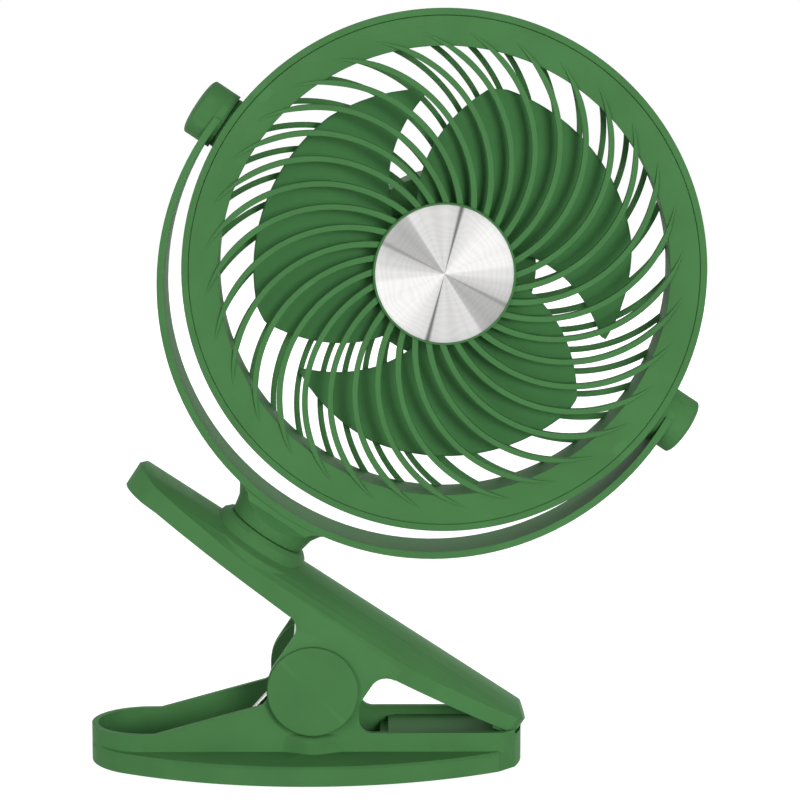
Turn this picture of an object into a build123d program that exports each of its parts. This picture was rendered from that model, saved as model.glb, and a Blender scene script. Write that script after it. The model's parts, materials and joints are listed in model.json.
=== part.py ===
"""Clip fan: a spring clip that also stands on a table, a swivelling C-shaped yoke and a round
fan head that tilts in it.

Lengths are millimetres and angles degrees. The origin is on the table, straight below the clip's
pivot. +X runs along the clip towards the jaw tips, the fan faces -Y and +Z is up.

Three frames are used. BASE is that one. LEAN has its origin on the pivot, its X axis down the
lever towards the jaw tips and its Z axis along the yoke's post. HEAD has its origin at the
middle of the head on the tilt axis, X along the tilt axis and Z pointing away from the post.
"""
import math
import os
from build123d import *

# ---------------------------------------------------------------- driving sizes
PIVOT_Z = 33.4            # height of the clip's pivot
LEAN_ANGLE = 33.8         # slope of the closed lever, and of the post from upright

HEAD_RADIUS = 100.0       # the head is 200 mm across
HEAD_S = -47.7            # head centre along the lever from the pivot
HEAD_T = 162.1            # head centre above the pivot, along the post

# base
BASE_NOSE_X = -87.8       # handle end
BASE_TIP_X = 81.5         # jaw end
BASE_HALF_WIDTH = 43.3
BASE_BOTTOM = 0.6         # the shell's underside; the rubber sole fills the rest
PLINTH_TOP = 8.2
PLINTH_EDGE = 1.0
CHANNEL_HALF = 21.6       # outside of the channel's walls
CHANNEL_WALL = 2.4
CHANNEL_FLOOR = 4.2
HANDLE_RIM_Z = 14.9
JAW_RIM_Z = 15.6
LUG_RADIUS = 17.8
SADDLE_X = 18.0           # where the walls leave the lugs
SADDLE_Z = 26.6           # wall height there on the handle side
RIM_FLAT_X = -62.0        # the handle side's rim is level beyond this
JAW_DECK_Z = 9.4
JAW_PAD_TOP = 12.2
PEDESTAL_HALF = 14.0
PEDESTAL_OUT = 25.6

# lever
CREST_T = 35.4            # top of the crowned lever above the pivot
LEVER_HALF = 24.6
CROWN_DROP = 6.8          # fall of the crown from the middle to the edge
LEVER_TAIL_S = -103.2
LEVER_TIP_S = 78.6
LEVER_SKIN = 2.4
LEVER_RISE = 0.4          # the moulding slopes this much less than the frame it is drawn in
SKIRT_T = 19.6            # skirt's lower edge by the ears
TAIL_SKIRT_T = 24.2
TIP_SKIRT_T = 26.6
EAR_HALF = 17.9
EAR_INNER = 22.0
LEVER_EDGE = 1.8
LEVER_CORNER = 4.0
GRIP_S = (-94.7, -87.5, -80.3)
LEVER_RIBS = (-84.0, 50.0)
COLLAR_RADIUS = 18.8
COLLAR_TOP_T = 38.4

# pivot
PIN_RADIUS = 3.0
RUNNING_FIT = 0.05
CAP_RADIUS = 17.5
CAP_THICKNESS = 2.4
CAP_GAP = 0.3

# spring
SPRING_WIRE = 1.1         # wire radius
SPRING_RADIUS = 8.0
SPRING_TURNS = 2
SPRING_PITCH = 3.2
SPRING_LEG_TIP_S = -27.0

# yoke
YOKE_RADIUS = 105.4       # outside of the band
YOKE_THICKNESS = 2.7
YOKE_OFFSET = 7.8         # the band's centre below the head's
YOKE_HALF_WIDTH = 13.0
BOSS_RADIUS = 11.4
BOSS_INNER = 101.0
BOSS_OUTER = 111.1
DOME_RISE = 2.7
NECK_RADIUS = 15.6
NECK_BOTTOM_T = 38.7
BOLT_RADIUS = 4.0

# head, depths are along Y with the tilt axis at 0
RING_FRONT = -18.0
RING_PLATE = 2.4          # thickness of the guard's ring
RING_INNER = 85.8
GROOVE_RADIUS = 97.3
GROOVE = 0.25
RING_BACK = 7.6
RING_TAPER = 2.4          # the shell is drawn in this much at its back
REAR_INNER = 86.3
HUB_RADIUS = 27.1
HUB_RIM = 0.7
HUB_FRONT = -20.8
HUB_BACK = -15.6
HUB_FLOOR = 1.6           # thickness of the hub's web
RIBS = 32
RIB_ARC = (-26.2, 42.3, 51.5)   # centre and radius of the arc that a rib follows
RIB_WIDTH = 2.1
RIB_TIP_RADIUS = 91.6     # the front ribs' pointed tails end here, on the ring's face
RIB_PROUD = 0.8           # and stand this much proud of it
RIB_BACK = -15.8
REAR_RIB_DEPTH = 2.4
REAR_RIBS = 37
REAR_RIB_ARC = (-26.1, 47.3, 57.0)
REAR_RIB_WIDTH = 2.2
POD_RADIUS = 36.0
POD_WALL = 2.2
POD_FRONT = 4.9
POD_FLOOR = 9.6
POD_BACK = 30.0
COVER_BACK = 33.0

# impeller
BLADES = 3
BLADE_TIP_RADIUS = 73.0
IMPELLER_HUB = 25.4
IMPELLER_FRONT, IMPELLER_BACK = -13.4, 3.6
IMPELLER_WEB = 2.2
BLADE_THICKNESS = 1.8
BLADE_PITCH = 0.105       # mm of depth for a degree of sweep
BLADE_FRONT = -14.2
BLADE_ROOT = 18.0
BLADE_TURN = 160.0
BLADE_STEPS = 8

# fasteners, electronics and button
TILT_SCREW = 2.6
COVER_SCREW_X = (-29.0, 29.0)
SCREW_HEAD = 2.7
BOARD_Y = 19.1
USB_W, USB_H, USB_Y = 8.94, 3.26, 22.4
LENS_RADIUS, LENS_Z = 1.5, 14.0
SHAFT_RADIUS = 1.5
MOTOR_RADIUS, MOTOR_FRONT = 14.0, -9.4
BUTTON_RADIUS = 6.0
BUTTON_BACK = 27.8
BUTTON_HOLE = 6.2


# ---------------------------------------------------------------- frames and helpers
LEAN = Pos(0, 0, PIVOT_Z) * Rot(0, LEAN_ANGLE, 0)
HEAD = LEAN * Pos(HEAD_S, 0, HEAD_T)


def along_y(radius, y0, y1, x=0, z=0):
    """A cylinder whose axis is parallel to Y, from y0 to y1."""
    return Pos(x, (y0 + y1) / 2, z) * Rot(90, 0, 0) * Cylinder(radius, y1 - y0)


def along_x(radius, x0, x1, y=0, z=0):
    """A cylinder whose axis is parallel to X, from x0 to x1."""
    return Pos((x0 + x1) / 2, y, z) * Rot(0, 90, 0) * Cylinder(radius, x1 - x0)


def along_z(radius, z0, z1, x=0, y=0):
    """A cylinder whose axis is parallel to Z, from z0 to z1."""
    return Pos(x, y, (z0 + z1) / 2) * Cylinder(radius, z1 - z0)


def block(x0, x1, y0, y1, z0, z1):
    """A box between two corners."""
    return Pos((x0 + x1) / 2, (y0 + y1) / 2, (z0 + z1) / 2) * Box(x1 - x0, y1 - y0, z1 - z0)


def turned(points):
    """A solid of revolution round the Y axis; the points are (radius, depth)."""
    return revolve(make_face(Polyline(*points, close=True)), Axis.Y)


def side_plate(wire, half_width):
    """A closed outline in X and Z made a slab from -half_width to +half_width along Y."""
    face = Plane.XZ * make_face(wire)
    return extrude(face, half_width, both=True)


def ring_of(part, count, start=0.0):
    """Copies of a part turned about the Y axis, in equal steps."""
    return [Rot(0, start + i * 360 / count, 0) * part for i in range(count)]


# ---------------------------------------------------------------- base
def boat(inset, bottom, top):
    """The base's boat-shaped plan, drawn in by inset, between two heights."""
    nose, tip, half = BASE_NOSE_X + inset, BASE_TIP_X - inset, BASE_HALF_WIDTH - inset
    left, right = (BASE_NOSE_X + 16.8, 26.0 - inset), (BASE_TIP_X - 9.5, 23.5 - inset)
    end = (BASE_TIP_X - 3.0 - inset, 16.5 - inset)
    plan = Curve() + [
        ThreePointArc((left[0], -left[1]), (nose, 0), left),
        ThreePointArc(left, (-8, half), right),
        Line(right, end),
        ThreePointArc(end, (tip, 0), (end[0], -end[1])),
        Line((end[0], -end[1]), (right[0], -right[1])),
        ThreePointArc((right[0], -right[1]), (-8, -half), (left[0], -left[1]))]
    return Pos(0, 0, bottom) * extrude(make_face(plan), top - bottom)


def wall_profile():
    """The side view of the channel's walls: sloping handle side, round lugs, level jaw side."""
    top_left = PIVOT_Z + LUG_RADIUS
    outline = Curve() + [
        Line((-90, 1), (-90, HANDLE_RIM_Z)),
        Line((-90, HANDLE_RIM_Z), (RIM_FLAT_X, HANDLE_RIM_Z)),
        Line((RIM_FLAT_X, HANDLE_RIM_Z), (-SADDLE_X - 2.0, SADDLE_Z)),
        ThreePointArc((-SADDLE_X - 2.0, SADDLE_Z), (-SADDLE_X - 0.4, SADDLE_Z + 1.4),
                      (-LUG_RADIUS, SADDLE_Z + 4.0)),
        Line((-LUG_RADIUS, SADDLE_Z + 4.0), (-LUG_RADIUS, PIVOT_Z)),
        ThreePointArc((-LUG_RADIUS, PIVOT_Z), (0, top_left), (LUG_RADIUS, PIVOT_Z)),
        Line((LUG_RADIUS, PIVOT_Z), (LUG_RADIUS, JAW_RIM_Z + 5.2)),
        ThreePointArc((LUG_RADIUS, JAW_RIM_Z + 5.2), (LUG_RADIUS + 1.5, JAW_RIM_Z + 1.5),
                      (LUG_RADIUS + 5.2, JAW_RIM_Z)),
        Line((LUG_RADIUS + 5.2, JAW_RIM_Z), (90, JAW_RIM_Z)),
        Line((90, JAW_RIM_Z), (90, 1)),
        Line((90, 1), (-90, 1))]
    return outline


def channel_plan(half, inset, bottom, top):
    """A strip with a round handle end, kept inside the boat plan."""
    centre = BASE_NOSE_X + inset + half
    strip = block(centre, 95, -half, half, bottom, top) + along_z(half, bottom, top, centre)
    return strip & boat(inset, bottom, top)


def base_shell():
    plinth = boat(0, BASE_BOTTOM, PLINTH_TOP)
    rim = [e for e in plinth.edges() if abs(e.center().Z - PLINTH_TOP) < 0.01]
    plinth = chamfer(rim, PLINTH_EDGE)
    walls = channel_plan(CHANNEL_HALF, 0.0, PLINTH_TOP - 2, 60)
    walls &= side_plate(wall_profile(), CHANNEL_HALF + 1)
    pedestal = Pos(0, 0, PLINTH_TOP - 1) * extrude(Ellipse(PEDESTAL_HALF, PEDESTAL_OUT), 8.0)
    body = plinth + walls + pedestal
    inner = CHANNEL_HALF - CHANNEL_WALL
    body -= channel_plan(inner, CHANNEL_WALL, CHANNEL_FLOOR, 60)
    body += channel_plan(inner, CHANNEL_WALL, CHANNEL_FLOOR - 0.5, JAW_DECK_Z) & block(
        26, 95, -30, 30, 0, 60)
    body -= block(60, 95, -inner, inner, JAW_DECK_Z, 60)
    for x in (-52, -30, 14):
        body += block(x - 0.9, x + 0.9, -inner - 0.5, inner + 0.5, CHANNEL_FLOOR - 0.5,
                      CHANNEL_FLOOR + 3.0)
    body -= along_y(PIN_RADIUS + RUNNING_FIT, -50, 50, 0, PIVOT_Z)
    body -= boat(3.0, -1, BASE_BOTTOM + 1.0)
    return body


def foot_pad():
    """The rubber sole: it fills the recess in the underside and stands proud of it."""
    return boat(3.1, 0, BASE_BOTTOM + 1.0)


def lower_jaw_pad():
    pad = channel_plan(CHANNEL_HALF - CHANNEL_WALL - 0.2, CHANNEL_WALL + 0.4, JAW_DECK_Z,
                       JAW_PAD_TOP) & block(29, 95, -30, 30, 0, 60)
    pad = chamfer(pad.edges().filter_by(Axis.Z).group_by(Axis.X)[0], 3.0)
    return pad


# ---------------------------------------------------------------- pivot
def pivot_pin():
    end = LEVER_HALF + CAP_GAP
    return along_y(PIN_RADIUS, -end, end, 0, PIVOT_Z)


def pivot_caps():
    """The two flat discs on the ends of the pin."""
    inner, outer = LEVER_HALF + CAP_GAP, LEVER_HALF + CAP_GAP + CAP_THICKNESS
    disc = along_y(CAP_RADIUS, inner, outer)
    return Pos(0, 0, PIVOT_Z) * (disc + Rot(0, 0, 180) * disc)


def arc_from_tangent(a, b, tangent):
    """The arc that leaves a along a tangent and ends at b."""
    chord = b - a
    unit = chord.normalized()
    side = tangent - unit * tangent.dot(unit)
    if side.length < 1e-6:
        return Line(a, b)
    half_angle = tangent.get_angle(chord) * math.pi / 180
    rise = side.normalized() * (chord.length / 2 * math.tan(half_angle / 2))
    return ThreePointArc(a, (a + b) * 0.5 + rise, b)


def biarc(a, ta, b, tb):
    """Two arcs that join a to b and share the tangents ta and tb there."""
    v, t = b - a, ta + tb
    under = 2 * (1 - ta.dot(tb))
    reach = (math.sqrt(v.dot(t) ** 2 + under * v.dot(v)) - v.dot(t)) / under
    joint = (a + ta * reach + b - tb * reach) * 0.5
    second = arc_from_tangent(b, joint, tb * -1)
    return [arc_from_tangent(a, joint, ta), second]


def spring_path():
    """Points and tangents of the torsion spring, about half a turn apart, with a straight leg
    at each end, about the pivot."""
    centre_y = -SPRING_TURNS * SPRING_PITCH / 2

    def leg(tip, sense):
        """The angle round the coil at which a tangent line reaches the leg's tip."""
        distance = math.hypot(*tip)
        return math.atan2(tip[1], tip[0]) - sense * math.acos(SPRING_RADIUS / distance)

    lean = math.radians(LEAN_ANGLE)
    lever_tip = (SPRING_LEG_TIP_S, CREST_T - LEVER_SKIN - 0.4 - SPRING_WIRE)
    upper = (lever_tip[0] * math.cos(lean) + lever_tip[1] * math.sin(lean),
             lever_tip[1] * math.cos(lean) - lever_tip[0] * math.sin(lean))
    lower = (-36.0, CHANNEL_FLOOR + SPRING_WIRE + 0.3 - PIVOT_Z)
    start, end = leg(upper, -1), leg(lower, 1)
    while end < start + 2 * math.pi * (SPRING_TURNS - 1):
        end += 2 * math.pi
    steps = math.ceil((end - start) / math.pi)
    points, tangents = [], []
    for i in range(steps + 1):
        angle = start + (end - start) * i / steps
        rise = SPRING_PITCH * (angle - start) / (2 * math.pi)
        points.append(Vector(SPRING_RADIUS * math.cos(angle), centre_y + rise,
                             SPRING_RADIUS * math.sin(angle)))
        slope = 0 if i in (0, steps) else SPRING_PITCH / (2 * math.pi)
        tangents.append(Vector(-SPRING_RADIUS * math.sin(angle), slope,
                               SPRING_RADIUS * math.cos(angle)).normalized())
    first = Vector(upper[0], points[0].Y, upper[1])
    last = Vector(lower[0], points[-1].Y, lower[1])
    return first, points, tangents, last


def least_gap(edges):
    """The least clear distance between two stretches of the wire that lie more than half a turn
    apart along it, measured on points of the path."""
    marks, run = [], 0.0
    for edge in edges:
        count = max(8, int(edge.length / 0.8))
        for i in range(count):
            marks.append((run + edge.length * i / count, edge.position_at(i / count)))
        run += edge.length
    apart = math.pi * SPRING_RADIUS
    return min((q - p).length for a, p in marks for b, q in marks
               if b - a > apart) - 2 * SPRING_WIRE


def torsion_spring():
    first, points, tangents, last = spring_path()
    edges = [Line(first, points[0])]
    for i in range(len(points) - 1):
        edges += biarc(points[i], tangents[i], points[i + 1], tangents[i + 1])
    edges.append(Line(points[-1], last))
    path = Curve() + edges
    start = Plane(origin=first, z_dir=(points[0] - first).normalized())
    tube = sweep(start * RegularPolygon(SPRING_WIRE, 6), path=path)
    print("spring: least gap to itself", round(least_gap(edges), 2))
    return Pos(0, 0, PIVOT_Z) * tube


# ---------------------------------------------------------------- lever
def crown(top, s0, s1, bottom, edge=LEVER_HALF + 6.0):
    """A wide bar along the lever whose upper side is an arc across it, falling CROWN_DROP at
    LEVER_HALF from the middle, and is bevelled beyond edge. Its lower side is flat."""
    radius = (LEVER_HALF ** 2 + CROWN_DROP ** 2) / (2 * CROWN_DROP)
    low = top - radius + math.sqrt(radius ** 2 - edge ** 2)
    wide = edge + LEVER_EDGE * 2
    section = Curve() + [
        ThreePointArc((-edge, low), (0, top), (edge, low)),
        Polyline((edge, low), (wide, low - LEVER_EDGE * 2), (wide, bottom), (-wide, bottom),
                 (-wide, low - LEVER_EDGE * 2), (-edge, low))]
    return Pos(s0, 0, 0) * extrude(Plane.YZ * make_face(section), s1 - s0)


def lever_plan(inset, bottom, top):
    """The lever's plan: blunt round handle end, full width over the ears, narrower jaw tip."""
    tail, tip, half = LEVER_TAIL_S + inset, LEVER_TIP_S - inset, LEVER_HALF - inset
    tail_side, tip_side = (LEVER_TAIL_S + 9.0, 16.5 - inset), (LEVER_TIP_S - 3.5, 15.6 - inset)
    front = Curve() + [
        ThreePointArc((tail_side[0], -tail_side[1]), (tail, 0), tail_side),
        Line((-42, half), (20, half)),
        ThreePointArc(tip_side, (tip, 0), (tip_side[0], -tip_side[1])),
        Line((20, -half), (-42, -half))]
    for sign in (-1, 1):
        front += TangentArc((-42, sign * half), (tail_side[0], sign * tail_side[1]), tangent=(-1, 0))
        front += TangentArc((20, sign * half), (tip_side[0], sign * tip_side[1]), tangent=(1, 0))
    return Pos(0, 0, bottom) * extrude(make_face(front), top - bottom)


def lever_side():
    """The lever's side view without its crown: sloping skirt and slanting jaw tip."""
    tail, tip = TAIL_SKIRT_T, TIP_SKIRT_T
    return Polyline((-110, 60), (-110, tail), (-88, tail), (-24, SKIRT_T),
                    (24, SKIRT_T + 1.2), (71, tip - 0.6), (LEVER_TIP_S - 1.4, tip),
                    (LEVER_TIP_S + 0.8, 31.2), (70.5, 37.0), (70.5, 60), close=True)


def ear_plate(inner, outer):
    """One ear: straight sides, round end about the pivot, filleted into the skirt."""
    low = SKIRT_T
    outline = Curve() + [
        ThreePointArc((-EAR_HALF, 0), (0, -EAR_HALF), (EAR_HALF, 0)),
        Line((EAR_HALF, 0), (EAR_HALF, low - 5.0)),
        ThreePointArc((EAR_HALF, low - 5.0), (EAR_HALF + 1.8, low - 0.9), (EAR_HALF + 6.2, low + 1.2)),
        Line((EAR_HALF + 6.2, low + 1.2), (EAR_HALF + 6.2, low + 6)),
        Line((EAR_HALF + 6.2, low + 6), (-EAR_HALF - 6.2, low + 6)),
        Line((-EAR_HALF - 6.2, low + 6), (-EAR_HALF - 6.2, low)),
        ThreePointArc((-EAR_HALF - 6.2, low), (-EAR_HALF - 1.8, low - 1.8), (-EAR_HALF, low - 6.2)),
        Line((-EAR_HALF, low - 6.2), (-EAR_HALF, 0))]
    plate = extrude(Plane.XZ * make_face(outline), outer - inner)
    return Pos(0, outer, 0) * plate, Pos(0, -inner, 0) * plate


def collar():
    """The pedestal that the yoke stands on, flared into the crown."""
    outline = Polyline((0, 28), (COLLAR_RADIUS + 5.0, 28), (COLLAR_RADIUS + 5.0, 31.4),
                       (COLLAR_RADIUS + 1.2, 33.2), (COLLAR_RADIUS, 36.8),
                       (COLLAR_RADIUS - 1.6, COLLAR_TOP_T), (0, COLLAR_TOP_T), close=True)
    return Pos(HEAD_S, 0, 0) * revolve(Plane.XZ * make_face(outline), Axis.Z)


def lever_shell():
    solid = lever_plan(0, 10, CREST_T)
    solid = fillet(solid.edges().filter_by(Axis.Z), LEVER_CORNER)
    solid = chamfer(solid.edges().group_by(Axis.Z)[-1], LEVER_EDGE)
    solid &= crown(CREST_T, -110, 90, 5, LEVER_HALF - LEVER_EDGE)
    solid &= side_plate(lever_side(), LEVER_HALF + 1)
    under = crown(CREST_T - LEVER_SKIN, -110, 66, 4)
    body = solid - (lever_plan(LEVER_SKIN, 5, 60) & under)
    for s in LEVER_RIBS:
        rib = block(s - 0.9, s + 0.9, -30, 30, 26, 60)
        body += rib & lever_plan(1.0, 5, 60) & crown(CREST_T - 1.0, -110, 90, 5)
    for s in GRIP_S:
        body -= along_y(2.6, -40, 40, s, CREST_T + 1.8)
    body = Rot(0, -LEVER_RISE, 0) * body
    body += (collar() & lever_plan(0.5, 5, 60)) - Rot(0, -LEVER_RISE, 0) * under
    for ear in ear_plate(EAR_INNER, LEVER_HALF):
        body += ear
    body += along_z(10.5, 31.2, 35, HEAD_S)
    body -= along_z(BOLT_RADIUS + RUNNING_FIT + 0.03, 0, 60, HEAD_S)
    body -= along_z(12.0, 0, 31.2, HEAD_S)
    body -= along_y(PIN_RADIUS + RUNNING_FIT, -50, 50)
    return LEAN * body


def upper_jaw_pad():
    """The rubber pad under the jaw tip."""
    top, thick = TIP_SKIRT_T, 2.0
    pad = lever_plan(LEVER_SKIN + 0.3, 10, 60) & side_plate(Polyline(
        (68.0, top - 0.9 - 0.3), (LEVER_TIP_S - 4, top - 0.3), (LEVER_TIP_S - 4, top - thick),
        (68.0, top - thick - 0.9), close=True), 30)
    return LEAN * Rot(0, -LEVER_RISE, 0) * pad


# ---------------------------------------------------------------- swivel hardware
def swivel_bolt():
    shank = along_z(BOLT_RADIUS, 24.2, 48.0, HEAD_S)
    return LEAN * shank


def swivel_nut():
    nut = Pos(HEAD_S, 0, 26.2) * extrude(RegularPolygon(8.0, 6), 4.9)
    return LEAN * (nut - along_z(BOLT_RADIUS + RUNNING_FIT, 20, 40, HEAD_S))


# ---------------------------------------------------------------- yoke, in the head's frame
def neck():
    """The short post under the band: round below, drawn in to the band's width above."""
    bottom = NECK_BOTTOM_T - HEAD_T
    root = -YOKE_OFFSET - YOKE_RADIUS
    outline = Polyline((0, bottom), (NECK_RADIUS, bottom), (NECK_RADIUS + 1.2, root - 4.4),
                       (NECK_RADIUS + 3.6, root - 0.4), (NECK_RADIUS + 8.4, root + 2.9),
                       (0, root + 1.2), close=True)
    body = revolve(Plane.XZ * make_face(outline), Axis.Z)
    half = YOKE_HALF_WIDTH - 0.8
    flat = Polyline((-20, bottom - 1), (20, bottom - 1), (20, root - 9), (half, root - 2.5),
                    (half, root + 8), (-half, root + 8), (-half, root - 2.5), (-20, root - 9),
                    close=True)
    return body & extrude(Plane.YZ * make_face(flat), 40, both=True)


def yoke():
    inner = YOKE_RADIUS - YOKE_THICKNESS
    hoop = along_y(YOKE_RADIUS, -YOKE_HALF_WIDTH, YOKE_HALF_WIDTH, 0, -YOKE_OFFSET)
    hoop -= along_y(inner, -YOKE_HALF_WIDTH, YOKE_HALF_WIDTH, 0, -YOKE_OFFSET)
    low_half = block(-120, 120, -20, 20, -120, 0)
    ends = along_x(YOKE_HALF_WIDTH, -120, 120)
    band = hoop & (low_half + ends)
    body = band + (neck() - along_y(inner + 0.4, -60, 60, 0, -YOKE_OFFSET))
    for side in (-1, 1):
        inside, outside = sorted((side * BOSS_INNER, side * BOSS_OUTER))
        body += along_x(BOSS_RADIUS, inside, outside)
        pocket = sorted((side * (BOSS_INNER + 4.2), side * (BOSS_OUTER + 1)))
        body -= along_x(9.4, *pocket)
        body -= along_x(TILT_SCREW + RUNNING_FIT, *sorted((side * 90, side * 120)))
    body -= along_z(BOLT_RADIUS + 0.03, -130, 48.1 - HEAD_T)
    return HEAD * body


def tilt_caps():
    """The domed caps that close the bosses at the two ends of the tilt axis."""
    outline = Polyline((0, BOSS_OUTER), (BOSS_RADIUS, BOSS_OUTER),
                       (BOSS_RADIUS * 0.55, BOSS_OUTER + DOME_RISE), (0, BOSS_OUTER + DOME_RISE),
                       close=True)
    cap = revolve(Plane.XZ * make_face(outline), Axis.Z)
    return HEAD * (Rot(0, 90, 0) * cap + Rot(0, -90, 0) * cap)


def tilt_screws():
    """The two hexagon-headed screws that the head turns on; their heads lie in the bosses."""
    seat = BOSS_INNER + 4.5
    shank = along_x(TILT_SCREW, 88.6, seat + 0.1)
    screw = shank + Pos(seat, 0, 0) * extrude(Plane.YZ * RegularPolygon(5.6, 6), 2.1)
    return HEAD * (screw + Rot(0, 180, 0) * screw)


# ---------------------------------------------------------------- head, in its own frame
def guard_rib(arc, width, depth, r0, r1, steps):
    """One curved rib of a guard, drawn round an arc whose centre and radius give the ribs their
    curl. It runs from r0 to r1 away from the axis, narrows to a blunt point there and is depth
    thick along Y. The arc is stepped, because there are dozens of ribs."""
    cx, cz, radius = arc
    reach = math.hypot(cx, cz)

    def turn(r):
        """The place along the arc that lies r from the axis."""
        swing = math.acos((reach ** 2 + radius ** 2 - r ** 2) / (2 * reach * radius))
        return math.atan2(-cz, -cx) + swing

    def side(sign):
        """One side of the rib: full width at the hub, a third of it at the tip."""
        points = []
        for i in range(steps + 1):
            angle = turn(r0) + (turn(r1) - turn(r0)) * i / steps
            half = width / 2 * (1.15 if i == 0 else 1.0 if i < steps else 0.33)
            points.append((cx + (radius + sign * half) * math.cos(angle),
                           cz + (radius + sign * half) * math.sin(angle)))
        return points

    outline = Polyline(*side(-1), *reversed(side(1)), close=True)
    return Pos(0, depth, 0) * extrude(Plane.XZ * make_face(outline), depth)


def front_guard():
    face, back = RING_FRONT, RING_FRONT + RING_PLATE
    body = turned([(RING_INNER, face), (GROOVE_RADIUS - GROOVE, face),
                   (GROOVE_RADIUS - GROOVE, back), (RING_INNER, back)])
    depth = RIB_BACK - face + RIB_PROUD
    rib = guard_rib(RIB_ARC, RIB_WIDTH, depth, HUB_RADIUS - 1.0, RIB_TIP_RADIUS, 6)
    for one in ring_of(Pos(0, face - RIB_PROUD, 0) * rib, RIBS):
        body += one
    seat = HUB_FRONT + 2.0
    hub = turned([(0, seat), (HUB_RADIUS - HUB_RIM, seat), (HUB_RADIUS - HUB_RIM, HUB_FRONT),
                  (HUB_RADIUS, HUB_FRONT), (HUB_RADIUS, HUB_BACK), (HUB_RADIUS - 2.6, HUB_BACK),
                  (HUB_RADIUS - 2.6, seat + HUB_FLOOR), (0, seat + HUB_FLOOR)])
    return HEAD * (body + hub)


def hub_disc():
    """The brushed metal disc, let into the hub a little below its rim."""
    return HEAD * along_y(HUB_RADIUS - HUB_RIM - 0.1, HUB_FRONT + 0.4, HUB_FRONT + 2.0)


def rear_shell():
    """The ring behind the guard, the rear ribs and the pod for the motor. The ring is closed
    by the guard, so it is left solid."""
    front, seat = RING_FRONT + 0.3, RING_FRONT + RING_PLATE
    body = turned([
        (GROOVE_RADIUS, front), (HEAD_RADIUS, front), (HEAD_RADIUS - RING_TAPER, RING_BACK),
        (REAR_INNER, RING_BACK), (REAR_INNER, seat), (GROOVE_RADIUS, seat)])
    rib = guard_rib(REAR_RIB_ARC, REAR_RIB_WIDTH, REAR_RIB_DEPTH, POD_RADIUS - 1.0,
                    REAR_INNER + 1.0, 3)
    for one in ring_of(Pos(0, RING_BACK - REAR_RIB_DEPTH, 0) * rib, REAR_RIBS):
        body += one
    body += turned([(0, POD_FRONT), (POD_RADIUS, POD_FRONT), (POD_RADIUS, POD_BACK),
                    (POD_RADIUS - POD_WALL, POD_BACK), (POD_RADIUS - POD_WALL, POD_FLOOR),
                    (0, POD_FLOOR)])
    for x in COVER_SCREW_X:
        body += along_y(2.6, POD_FLOOR - 0.5, POD_BACK - 0.2, x)
        body -= along_y(1.25, POD_BACK - 9, POD_BACK + 1, x)
    for side in (-1, 1):
        body += along_x(10.4, *sorted((side * 95.4, side * (BOSS_INNER - 0.2))))
        body -= along_x(TILT_SCREW + 0.03, *sorted((side * 88.5, side * 120)))
    body -= block(-USB_W / 2 - 0.15, USB_W / 2 + 0.15, USB_Y - USB_H / 2 - 0.15,
                  USB_Y + USB_H / 2 + 0.15, -POD_RADIUS - 2, -POD_RADIUS + 5)
    body -= along_y(1.6, 0, POD_FLOOR - 1.0, 0, 0)
    return HEAD * body


def rear_cover():
    cover = turned([(0, POD_BACK), (POD_RADIUS, POD_BACK), (POD_RADIUS, COVER_BACK - 1.4),
                    (POD_RADIUS - 1.4, COVER_BACK), (0, COVER_BACK)])
    for x in COVER_SCREW_X:
        cover -= along_y(1.35, 0, 50, x)
    cover -= along_y(BUTTON_HOLE, 0, 50)
    cover -= along_y(LENS_RADIUS + 0.05, 0, 50, 0, LENS_Z)
    for z in (-23.0, -19.5, -16.0, -12.5):
        cover -= block(-11, 11, 0, 50, z - 0.8, z + 0.8)
    return HEAD * cover


def cover_screws():
    group = None
    for x in COVER_SCREW_X:
        screw = along_y(SCREW_HEAD, COVER_BACK, COVER_BACK + 1.2, x)
        screw += along_y(1.2, POD_BACK - 8, COVER_BACK, x)
        group = screw if group is None else group + screw
    return HEAD * group


def motor_can():
    can = along_y(MOTOR_RADIUS, MOTOR_FRONT, POD_FRONT)
    return HEAD * (can - along_y(SHAFT_RADIUS + RUNNING_FIT, -20, 20))


def motor_shaft():
    return HEAD * along_y(SHAFT_RADIUS, IMPELLER_FRONT - 2.8, 6.5)


def shaft_nut():
    nut = Pos(0, IMPELLER_FRONT, 0) * extrude(Plane.XZ * RegularPolygon(3.6, 6), 2.2)
    return HEAD * (nut - along_y(SHAFT_RADIUS + 0.03, -30, 0))


def battery():
    cell = block(-21, 21, POD_FLOOR, BOARD_Y, -15, 15)
    return HEAD * chamfer(cell.edges().filter_by(Axis.Z), 1.5)


def circuit_board():
    board = block(-20, 20, BOARD_Y, BOARD_Y + 1.6, -17, 15)
    board += block(-7, 7, BOARD_Y, BOARD_Y + 1.6, -32.5, -16)
    board += block(-3.1, 3.1, BOARD_Y + 1.5, BOARD_Y + 5.1, -3.1, 3.1)
    board += along_y(1.7, BOARD_Y + 5.0, BUTTON_BACK - 1.0)
    board += block(8, 15, BOARD_Y + 1.5, BOARD_Y + 3.2, 3, 10)
    board += block(-2.0, 2.0, BOARD_Y + 1.5, BOARD_Y + 2.4, LENS_Z - 1.4, LENS_Z + 1.0)
    return HEAD * board


def usb_socket():
    outer = extrude(Plane.XY * SlotOverall(USB_W, USB_H), 7.6)
    inner = extrude(Plane.XY * SlotOverall(USB_W - 0.6, USB_H - 0.6), 7.0)
    tongue = block(-3.3, 3.3, -0.35, 0.35, 1.2, 7.2)
    socket = outer - inner + tongue
    return HEAD * Pos(0, USB_Y, -POD_RADIUS + 0.2) * socket


def status_lens():
    return HEAD * along_y(LENS_RADIUS, BOARD_Y + 2.4, COVER_BACK + 0.2, 0, LENS_Z)


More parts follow.
